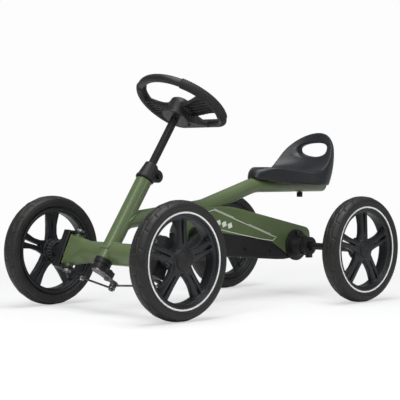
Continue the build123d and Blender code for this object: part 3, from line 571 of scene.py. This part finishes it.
def seat_solid(x, y, z):
    side = np.abs(y)
    nose = (x - SEAT_NOSE + 0.30 * (z - 288.0)) * 0.96
    rear = -(x - SEAT_REAR - 0.0072 * y**2 - 0.0034 * (z - 350.0) ** 2) * 0.8
    plan = (side - along_seat(x, SEAT_HALF_WIDTHS)) * 0.9
    plan = common(common(plan, nose, 20.0), rear, 28.0)
    arch = (np.sqrt((y / 97.0) ** 2 + ((z - 298.0) / 109.5) ** 2) - 1) * 98.0
    body = common(common(plan, arch, 8.0), along_seat(x, SEAT_LOWER_EDGE) - z, 4.0)
    seat_top = 314.5 + 3.5 * np.exp(-(((x + 187.0) / 28.0) ** 2)) - 0.0006 * y**2 - 3.0 * ramp(x, -235, -310)
    back_face = -364.0 - 0.36 * (z - 322.0) + 0.0042 * y**2
    room = common(seat_top - z, (back_face - x) * 0.94, 50.0)
    body = cut(body, room, 4.5 + 12.0 * ramp(x, -205, -165))
    wide, high = HAND_HOLE_HALF
    hole = (((side / wide) ** 2.4 + (np.abs(z - HAND_HOLE_HEIGHT) / high) ** 2.4) ** (1 / 2.4) - 1) * high
    body = cut(body, hole, 6.0)
    tube_middle = TUBE_TOP_LINE - np.maximum(0, x + 164.0) ** 2 / 240.0
    body = cut(body, np.hypot(y, z - tube_middle) - TUBE_ROOM, 1.5)
    channel = common(common(side - 22.5, z - 293.4, 3.0), x + 176.0, 1.0)
    body = cut(body, channel, 1.5)
    hollow = common(common(plan + 4.5, z - 303.0, 3.0), 27.0 - side, 3.0)
    return cut(body, common(hollow, -x - 378.0, 3.0), 1.5)


def make_seat():
    shape = sculpt(seat_solid, (-418, -100, 264), (-122, 100, 414), 1.9)
    finish_piece(new_piece("moulded_seat", *shape), "seat", SEAT_PLASTIC, "seat_plastic", "seat")


# ---------------------------------------------------------- steering wheel
RING_RADIUS = 101.0
RING_FLAT = 75.0
RING_TUBE = 9.5
GRIP_TUBE = 11.6
GRIP_START, GRIP_END = radians(40), radians(122)
BOSS = 27.0
ARM_BACK = -23.0
RIB_PITCH = 9.0


def ring_distance(x, y):
    """Distance from the middle line of the D-shaped ring, in its plane."""
    return common(np.hypot(x, y) - RING_RADIUS, -RING_FLAT - x, 11.0)


def steering_wheel_solid(x, y, z):
    side = np.abs(y)
    inside = ring_distance(x, y)
    ring = np.sqrt(inside**2 + z**2) - RING_TUBE
    front = 20.0 + 15.0 * ramp(side, 30, 98)
    sink = -7.0 * ramp(side, 92, 30)
    width = np.maximum(x - front, ARM_BACK - x)
    arm = common(width, np.abs(z - sink + 2.0) - 3.4, 2.0)
    arm = common(arm, inside, 1.0)
    rib_x = (x + 41.5) % RIB_PITCH - RIB_PITCH / 2
    rib = common(np.abs(rib_x) - 1.3, np.abs(z - sink + 5.5) - 2.8, 1.0)
    to_edge = np.abs(np.abs(x - (front + ARM_BACK) / 2) - (front - ARM_BACK - 3.0) / 2)
    edge_rib = common(to_edge - 1.2, np.abs(z - sink + 7.0) - 4.6, 1.0)
    rib = np.minimum(rib, edge_rib)
    rib = common(common(rib, width, 1.5), inside + 3, 1.5)
    arm = join(arm, rib, 1.0)
    foot = 20.0 + 9.0 * ramp(-x, 25, 80)
    low = common(side - foot, np.abs(z + 7.0) - 4.0, 2.0)
    low = common(common(low, x, 2.0), inside, 1.0)
    depth = np.interp(-x, (20.0, RING_FLAT), (34.0, 9.0))
    web = common(np.abs(side - foot + 2.5) - 1.8, np.maximum(-z - depth, z + 4.0), 1.0)
    web = common(common(web, x + 12.0, 1.0), inside + 2, 1.0)
    low = join(low, web, 1.5)
    boss = cylinder(x, y, z, BOSS, -34.0, 4.0, 4.0)
    lip = cylinder(x, y, z, BOSS + 5.5, -38.0, -33.5, 1.5)
    shape = join(join(ring, arm, 4.0), low, 4.0)
    shape = join(join(shape, boss, 5.0), lip, 1.0)
    dish = cylinder(x, y, z, BOSS - 3.4, 0.5, 20.0, 0.5)
    return cut(shape, dish, 0.8)


def grip_solid(x, y, z):
    angle = np.abs(np.arctan2(y, x))
    middle, half = (GRIP_START + GRIP_END) / 2, (GRIP_END - GRIP_START) / 2
    ends = (np.abs(angle - middle) - half) * RING_RADIUS
    ripple = 0.25 * np.cos(angle * 2 * pi / radians(2.6))
    tube = np.sqrt(ring_distance(x, y) ** 2 + z**2) - GRIP_TUBE - ripple
    return common(tube, ends, 1.6)


def centre_cap_shape():
    """Crowned disc that closes the boss."""
    top, foot, radius = 7.1, 1.2, BOSS - 4
    profile = [(0.001, top), (12, top - 0.1), (radius - 3, top - 0.4), (radius - 1, top - 1.0)]
    profile += [(radius, top - 2.2), (radius, foot), (0.001, foot)]
    return turned(profile, 96)


def make_steering_wheel():
    place = COLUMN @ Matrix.Translation((0, 0, wheel_station()))
    reach = RING_RADIUS + GRIP_TUBE + 3
    wheel = sculpt(steering_wheel_solid, (-reach, -reach, -40), (reach, reach, 13), 1.7)
    grips = sculpt(grip_solid, (-reach, -reach, -14), (reach, reach, 14), 1.3)
    for name, shape, material, slot, node in (
        ("steering_wheel_rim", wheel, WHEEL_PLASTIC, "wheel_plastic", "steering_wheel"),
        ("soft_grips", grips, GRIP, "grip_rubber", "wheel_grips"),
        ("wheel_centre_cap", centre_cap_shape(), BLACK_PLASTIC, "wheel_plastic", "wheel_hub_cap"),
    ):
        finish_piece(new_piece(name, *shape, place), "steering_post", material, slot, node)


# ------------------------------------------------------------------ collar
COLLAR_LENGTH = 40.0
COLLAR_RADII = (20.5, 15.0)     # at the foot and at the top
SHAFT_HOLE = 12.75
POST_HOLE_HALF = 7.1


def collar_solid_at(start):
    """Clamp round the post: a tapered sleeve with a slit and two ears for its bolt."""
    ear_x, ear_z, ear_radius = -24.0, start + 24.0, 14.0
    foot, top = COLLAR_RADII

    def solid(x, y, z):
        radius = foot - (foot - top) * (z - start) / COLLAR_LENGTH
        body = common(np.hypot(x, y) - radius, np.abs(z - start - COLLAR_LENGTH / 2) - COLLAR_LENGTH / 2, 1.6)
        body = join(body, cylinder(x, y, z, 21.6, start, start + 6.0, 1.2), 1.0)
        ears = np.maximum(np.hypot(x - ear_x, z - ear_z) - ear_radius, 0 * x - 30)
        bridge = np.maximum(np.abs(x + 12) - 12, np.abs(z - ear_z) - ear_radius + 1)
        ears = common(join(ears, bridge, 3.0), np.abs(y) - 11.0, 2.5)
        body = join(body, ears, 4.0)
        slit = np.maximum(np.abs(y) - 1.0, x)
        body = cut(body, slit, 0.6)
        bolt = np.hypot(x - ear_x, z - ear_z) - 3.1
        body = cut(body, bolt, 0.5)
        lower_hole = common(np.hypot(x, y) - SHAFT_HOLE, z - start - 26.5, 0.3)
        throat = np.maximum(np.abs(x), np.abs(y)) - POST_HOLE_HALF
        return cut(cut(body, lower_hole, 0.4), throat, 0.4)

    return solid


def make_collar():
    inverse = COLUMN.inverted()
    heights = [(inverse @ v.co).z for v in frame["nodes"]["clamp_collar"].data.vertices]
    start = min(heights)
    solid = collar_solid_at(start)
    shape = sculpt(solid, (-42, -25, start - 2), (25, 25, start + 43), 1.1)
    piece = new_piece("post_clamp", *shape, COLUMN)
    finish_piece(piece, "steering_column", BLACK_PLASTIC, "black_plastic", "clamp_collar")


# -------------------------------------------------------------------- case
CRANK = (58.78, 160.0)          # X and Z, as are all the lines and places of the case
REAR_AXLE = (-288.5, 125.0)
CRANK_HOLE, HOUSING_HOLE = 13.0, 19.5
CRANK_DISC = 24.0               # the green stays round the crank's axle
CASE_NOSE = 45.1
CASE_HALF = 20.0
CASE_WALL = 2.5
CASE_EDGE = 6.0
CASE_CORNERS = (
    (58.8, 114.9), (-268.5, 88.5), (-308.5, 96.5), (-347.5, 131.0), (-343.5, 166.0), (-46.5, 229.0), (70.8, 223.9),
)
COVER_LINE = ((-268, 60), (-264, 101), (-247, 111), (-234, 119), (-201, 137), (-120, 151), (-37, 162), (150, 170))
MAIN_TUBE_LINE = ((255.05, 198.0), (15.7, 223.9), (-156.8, 274.75), (-406.0, 274.75))
MAIN_TUBE_RADIUS = 18.25


def main_tube_distance(x, y, z):
    """Distance from the outside of the main tube."""
    nearest = None
    for (x1, z1), (x2, z2) in zip(MAIN_TUBE_LINE, MAIN_TUBE_LINE[1:]):
        share = ((x - x1) * (x2 - x1) + (z - z1) * (z2 - z1)) / ((x2 - x1) ** 2 + (z2 - z1) ** 2)
        share = np.clip(share, 0, 1)
        away = np.sqrt((x - x1 - share * (x2 - x1)) ** 2 + (z - z1 - share * (z2 - z1)) ** 2 + y**2)
        nearest = away if nearest is None else np.minimum(nearest, away)
    return nearest - MAIN_TUBE_RADIUS


def case_outer(x, y, z):
    outline = None
    for (x1, z1), (x2, z2) in zip(CASE_CORNERS, CASE_CORNERS[1:] + CASE_CORNERS[:1]):
        length = sqrt((x2 - x1) ** 2 + (z2 - z1) ** 2)
        off = ((x - x1) * (z1 - z2) + (z - z1) * (x2 - x1)) / length
        outline = off if outline is None else common(outline, off, 14.0)
    outline = join(outline, np.hypot(x - CRANK[0], z - CRANK[1]) - CASE_NOSE, 4.0)
    return common(outline, np.abs(y) - CASE_HALF, CASE_EDGE)


def case_shell(x, y, z):
    outer = case_outer(x, y, z)
    shell = cut(outer, outer + CASE_WALL, 0.3)
    shell = cut(shell, main_tube_distance(x, y, z), 0.4)
    shell = cut(shell, np.hypot(x - REAR_AXLE[0], z - REAR_AXLE[1]) - HOUSING_HOLE, 0.4)
    return cut(shell, np.hypot(x - CRANK[0], z - CRANK[1]) - CRANK_HOLE, 0.4)


def green_region(x, z):
    """Negative where the case is green and positive where the black cover is."""
    heights = [height for _, height in COVER_LINE]
    line = np.interp(x, [place for place, _ in COVER_LINE], heights)
    line = np.where(x < COVER_LINE[0][0], -400.0, line)
    return join((line - z) * 0.9, np.hypot(x - CRANK[0], z - CRANK[1]) - CRANK_DISC, 2.0)


def make_case():
    low, high = (-352, -23, 84), (108, 23, 232)

    def frame_side(x, y, z):
        return common(case_shell(x, y, z), green_region(x, z), 0.5)

    def cover_side(x, y, z):
        return common(case_shell(x, y, z), 0.4 - green_region(x, z), 0.5)

    upper = new_piece("rear_frame_shell", *sculpt(frame_side, low, high, 1.6))
    finish_piece(upper, "frame", GREEN, "frame_paint", "rear_frame")
    lower = new_piece("chain_cover_shell", *sculpt(cover_side, low, high, 1.6))
    finish_piece(lower, "frame", CASE_PLASTIC, "black_plastic", "chain_case_cover")


DECAL_OUTLINE = (
    (30, 198), (16, 214), (-3.5, 218), (-202, 151), (-218, 147), (-205, 139), (-166, 144), (-90, 158), (8, 178),
)
DECAL_FACE = CASE_HALF + 0.02
DECAL_THICK = 0.25
OUTLINE_WIDTH, ACCENT_WIDTH, ACCENT_GAP = 1.4, 1.0, 2.6
BAR_LENGTHS = (20, 13, 13, 13)
BAR_PITCH, BAR_HEIGHT, BAR_LEAN = 19.0, 11.0, 3.5


def strip(points, width, side, closed):
    """Flat band along a line drawn in X and Z on one side face of the case, mitred at its corners."""
    count = len(points)
    rows = []
    for i, (x, z) in enumerate(points):
        before = points[(i - 1) % count] if closed or i else points[i]
        after = points[(i + 1) % count] if closed or i < count - 1 else points[i]
        inward = Vector((x - before[0], z - before[1])).normalized() if before != points[i] else None
        onward = Vector((after[0] - x, after[1] - z)).normalized() if after != points[i] else inward
        inward = inward or onward
        mean = (inward + onward).normalized()
        across = Vector((-mean.y, mean.x)) * (width / 2) / max(0.5, mean.dot(onward))
        for sign, depth in ((1, 0), (1, 1), (-1, 1), (-1, 0)):
            y = side * (DECAL_FACE + depth * DECAL_THICK)
            rows.append((x + sign * across.x, y, z + sign * across.y))
    faces = []
    for i in range(count if closed else count - 1):
        j = (i + 1) % count
        for k in range(4):
            corner = (k + 1) % 4
            quad = (4 * i + k, 4 * i + corner, 4 * j + corner, 4 * j + k)
            faces.append(quad if side > 0 else quad[::-1])
    if not closed:
        ends = ((3, 2, 1, 0), tuple(4 * (count - 1) + k for k in range(4)))
        faces += [end if side > 0 else end[::-1] for end in ends]
    return rows, faces


def between_points(first, second, start, end, lift):
    """Part of a straight line, moved sideways by lift."""
    line = Vector(second) - Vector(first)
    off = Vector((-line.y, line.x)).normalized() * lift
    return [tuple(Vector(first) + line * share + off) for share in (start, end)]


def make_decals():
    """Pale outline with plain slanted bars on both sides of the case."""
    upper = DECAL_OUTLINE[2], DECAL_OUTLINE[3]
    for side, name in ((1, "left"), (-1, "right")):
        bands = [strip(DECAL_OUTLINE, OUTLINE_WIDTH, side, True)]
        for start, end in ((0.0, 0.33), (0.58, 0.98)):
            bands.append(strip(between_points(*upper, start, end, -ACCENT_GAP), ACCENT_WIDTH, side, False))
        for number, length in enumerate(BAR_LENGTHS):
            x = 6.0 - BAR_PITCH * number - 7.0 * (number > 0)
            z = 187.0 + 0.2 * (x - 6.0)
            bands.append(strip(((x, z), (x + BAR_LEAN, z + BAR_HEIGHT)), length, side, False))
        vertices, faces = [], []
        for points, quads in bands:
            faces += [tuple(k + len(vertices) for k in quad) for quad in quads]
            vertices += points
        piece = new_piece(f"case_decal_{name}", vertices, faces)
        piece.data.shade_flat()
        finish_piece(piece, "frame", DECAL, "frame_paint")


# ------------------------------------------------------------------- welds
def saddle(base_point, base_axis, base_radius, point, axis, radius, steps=160):
    """Line where a round tube meets the outside of another one, in millimetres."""
    base_axis, axis = Vector(base_axis).normalized(), Vector(axis).normalized()
    u = axis.orthogonal().normalized()
    v = axis.cross(u)
    line = []
    for i in range(steps):
        turn = 2 * pi * i / steps
        start = Vector(point) + radius * (cos(turn) * u + sin(turn) * v)
        gap = start - Vector(base_point)
        flat_gap = gap - base_axis * gap.dot(base_axis)
        flat_axis = axis - base_axis * axis.dot(base_axis)
        a, b = flat_axis.dot(flat_axis), 2 * flat_gap.dot(flat_axis)
        c = flat_gap.dot(flat_gap) - base_radius**2
        along = (-b + sqrt(max(0.0, b * b - 4 * a * c))) / (2 * a)
        line.append(start + axis * along)
    return line


BEAM_RADIUS = 24.5
BEAM_HEIGHT = 128.0
HEAD_TUBE_RADIUS = 18.3


def make_weld(name, line, radius=2.3):
    """Bead of overlapping ripples along a closed line."""
    sides, count = 8, len(line)
    vertices, faces = [], []
    u = None
    for i, middle in enumerate(line):
        tangent = (line[(i + 1) % count] - line[i - 1]).normalized()
        u = (tangent.orthogonal() if u is None else u - tangent * u.dot(tangent)).normalized()
        v = tangent.cross(u)
        size = radius * (1 + 0.14 * sin(i * 2 * pi / 4))
        for k in range(sides):
            turn = 2 * pi * k / sides
            vertices.append(middle + size * (cos(turn) * u + sin(turn) * v))
    for i in range(count):
        j = (i + 1) % count
        for k in range(sides):
            after = (k + 1) % sides
            faces.append((sides * i + k, sides * j + k, sides * j + after, sides * i + after))
    finish_piece(new_piece(name, vertices, faces), "frame", GREEN, "frame_paint")


def make_welds():
    origin = Vector(steering["pos_m"]) / MM
    low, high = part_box("front_beam")
    beam = ((low + high) / 2) / MM
    beam_middle = (beam.x, 0, BEAM_HEIGHT)
    beam_line = saddle(beam_middle, (0, 1, 0), BEAM_RADIUS, origin, STEERING_AXIS, MAIN_TUBE_RADIUS)
    make_weld("head_tube_weld", beam_line)
    start, end = MAIN_TUBE_LINE[0], MAIN_TUBE_LINE[1]
    back = (end[0] - start[0], 0, end[1] - start[1])
    front_point = (start[0], 0, start[1])
    tube_line = saddle(origin, STEERING_AXIS, HEAD_TUBE_RADIUS, front_point, back, MAIN_TUBE_RADIUS)
    make_weld("main_tube_weld", tube_line)


# ----------------------------------------------------------- carried nodes
def make_carried_parts():
    """CAD nodes that keep their shape: some get rounded edges, the rest only a material."""
    rounded = {
        "beam_end_plates": (0.8, "frame", GREEN, "frame_paint"),
        "knuckle_left": (1.0, "knuckle_left", BLACK_PLASTIC, "black_plastic"),
        "knuckle_right": (1.0, "knuckle_right", BLACK_PLASTIC, "black_plastic"),
        "pedal_left": (1.2, "pedal_left", BLACK_PLASTIC, "black_plastic"),
        "pedal_right": (1.2, "pedal_right", BLACK_PLASTIC, "black_plastic"),
        "crank_left": (1.2, "cranks", ENAMEL, "black_metal"),
        "crank_right": (1.2, "cranks", ENAMEL, "black_metal"),
        "bearing_housings": (0.8, "frame", BLACK_PLASTIC, "black_plastic"),
        "lower_clamp": (0.7, "steering_column", BLACK_PLASTIC, "black_plastic"),
        "seat_knob": (1.0, "seat_knob", BLACK_PLASTIC, "black_plastic"),
        "pitman_arm": (0.5, "steering_column", DARK_STEEL, "bright_steel"),
        "kingpin_bolts": (0.6, "frame", DARK_STEEL, "bright_steel"),
    }
    for node, (width, body, material, slot) in rounded.items():
        finish_piece(bevelled(node, width), body, material, slot, node)
    kept = {
        GREEN: ("front_beam", "kingpin_barrels", "head_tube", "main_tube"),
        BLACK_PLASTIC: ("head_bushes", "tube_end_cap", "crank_bushes", "seat_clamp_plate"),
        ENAMEL: (
            "rear_axle", "crank_axle", "pedal_spindles", "steering_shaft", "steering_post", "case_screws",
            "bearing_screws", "clamp_bolt",
        ),
        DARK_STEEL: (
            "linkage_screws", "tie_rod_left", "tie_rod_right", "rear_sprocket", "chainring", "drive_chain",
        ),
        STEEL: (
            "knuckle_pin_left", "knuckle_pin_right", "stub_axle_left", "stub_axle_right", "axle_nuts_rear",
            "rear_bearings",
        ),
    }
    for material, nodes in kept.items():
        for node in nodes:
            mesh = frame["nodes"][node].data
            mesh.materials.clear()
            mesh.materials.append(material)


# --------------------------------------------------------- stage and camera
FILL_LIGHT = 0.32
FLOOR_GLOW = 0.55
BACKGROUND = (0.98, 0.98, 0.98, 1)


def fade_to_white(tree):
    """Let the floor, as the camera sees it, brighten with distance until it matches the background."""
    where = tree.nodes.new("ShaderNodeNewGeometry")
    far = tree.nodes.new("ShaderNodeVectorMath")
    far.operation = "LENGTH"
    tree.links.new(where.outputs["Position"], far.inputs[0])
    share = tree.nodes.new("ShaderNodeMapRange")
    share.interpolation_type = "SMOOTHSTEP"
    for name, value in (("From Min", 0.45), ("From Max", 1.8), ("To Min", FLOOR_GLOW), ("To Max", 1.0)):
        share.inputs[name].default_value = value
    tree.links.new(far.outputs["Value"], share.inputs["Value"])
    rays = tree.nodes.new("ShaderNodeLightPath")
    seen = tree.nodes.new("ShaderNodeMath")
    seen.operation = "MULTIPLY"
    tree.links.new(share.outputs["Result"], seen.inputs[0])
    tree.links.new(rays.outputs["Is Camera Ray"], seen.inputs[1])
    white = tree.nodes.new("ShaderNodeEmission")
    white.inputs["Color"].default_value = BACKGROUND
    choice = tree.nodes.new("ShaderNodeMixShader")
    output = tree.nodes["Material Output"]
    lit = output.inputs["Surface"].links[0].from_socket
    tree.links.new(seen.outputs["Value"], choice.inputs["Fac"])
    tree.links.new(lit, choice.inputs[1])
    tree.links.new(white.outputs["Emission"], choice.inputs[2])
    tree.links.new(choice.outputs["Shader"], output.inputs["Surface"])


def make_stage():
    size = 40.0
    mesh = bpy.data.meshes.new("floor")
    mesh.from_pydata([(-size, -size, 0), (size, -size, 0), (size, size, 0), (-size, size, 0)], [], [(0, 1, 2, 3)])
    floor = bpy.data.objects.new("floor", mesh)
    bpy.context.scene.collection.objects.link(floor)
    look = Look("pale_floor", (0.80, 0.80, 0.80), 0.7)
    tint = look.mix(look.noise(3.0, 2.0), (0.82, 0.82, 0.82), (0.84, 0.84, 0.84))
    paper = look.done(tint, look.spread(look.noise(30.0, 2.0), 0.3, 0.7, 0.6, 0.7))
    fade_to_white(paper.node_tree)
    mesh.materials.append(paper)
    world = bpy.data.worlds.new("studio")
    world.use_nodes = True
    tree = world.node_tree
    seen = tree.nodes["Background"]
    seen.inputs["Color"].default_value = BACKGROUND
    fill = tree.nodes.new("ShaderNodeBackground")
    fill.inputs["Color"].default_value = (0.95, 0.97, 1.0, 1)
    fill.inputs["Strength"].default_value = FILL_LIGHT
    choice = tree.nodes.new("ShaderNodeMixShader")
    rays = tree.nodes.new("ShaderNodeLightPath")
    tree.links.new(rays.outputs["Is Camera Ray"], choice.inputs["Fac"])
    tree.links.new(fill.outputs["Background"], choice.inputs[1])
    tree.links.new(seen.outputs["Background"], choice.inputs[2])
    tree.links.new(choice.outputs["Shader"], tree.nodes["World Output"].inputs["Surface"])
    bpy.context.scene.world = world
    bpy.context.scene.view_settings.view_transform = "Standard"


def make_light(name, location, target, size, power, colour=(1, 1, 1)):
    light = bpy.data.lights.new(name, "AREA")
    light.shape = "RECTANGLE"
    light.size, light.size_y = size
    light.energy = power
    light.color = colour
    lamp = bpy.data.objects.new(name, light)
    lamp.location = location
    lamp.rotation_euler = (Vector(target) - Vector(location)).to_track_quat("-Z", "Y").to_euler()
    bpy.context.scene.collection.objects.link(lamp)


def make_camera():
    """Camera low in front of the kart's left front corner, looking back across it."""
    position = Vector((1.9954, 2.0366, 0.3171))
    heading, pitch, roll = -2.34021, -0.026933, 0.004917
    ahead = Vector((cos(pitch) * cos(heading), cos(pitch) * sin(heading), sin(pitch)))
    right = Vector((sin(heading), -cos(heading), 0))
    up = right.cross(ahead)
    right, up = right * cos(roll) + up * sin(roll), up * cos(roll) - right * sin(roll)
    data = bpy.data.cameras.new("camera")
    data.lens = 110.16
    data.sensor_width = 36.0
    camera = bpy.data.objects.new("camera", data)
    camera.matrix_world = Matrix.Translation(position) @ Matrix((right, up, -ahead)).transposed().to_4x4()
    bpy.context.scene.collection.objects.link(camera)
    bpy.context.scene.camera = camera


make_camera()
make_stage()
make_light("overhead", (0.3, 0.3, 2.6), (0, 0, 0.2), (1.8, 1.8), 62)
make_light("front_left", (2.4, 0.9, 1.9), (0.1, 0, 0.2), (0.5, 1.6), 30)
make_light("side", (-0.9, 2.6, 1.3), (-0.1, 0, 0.2), (0.5, 1.4), 14)
make_wheels()
make_seat()
make_steering_wheel()
make_collar()
make_case()
make_decals()
make_welds()
make_carried_parts()
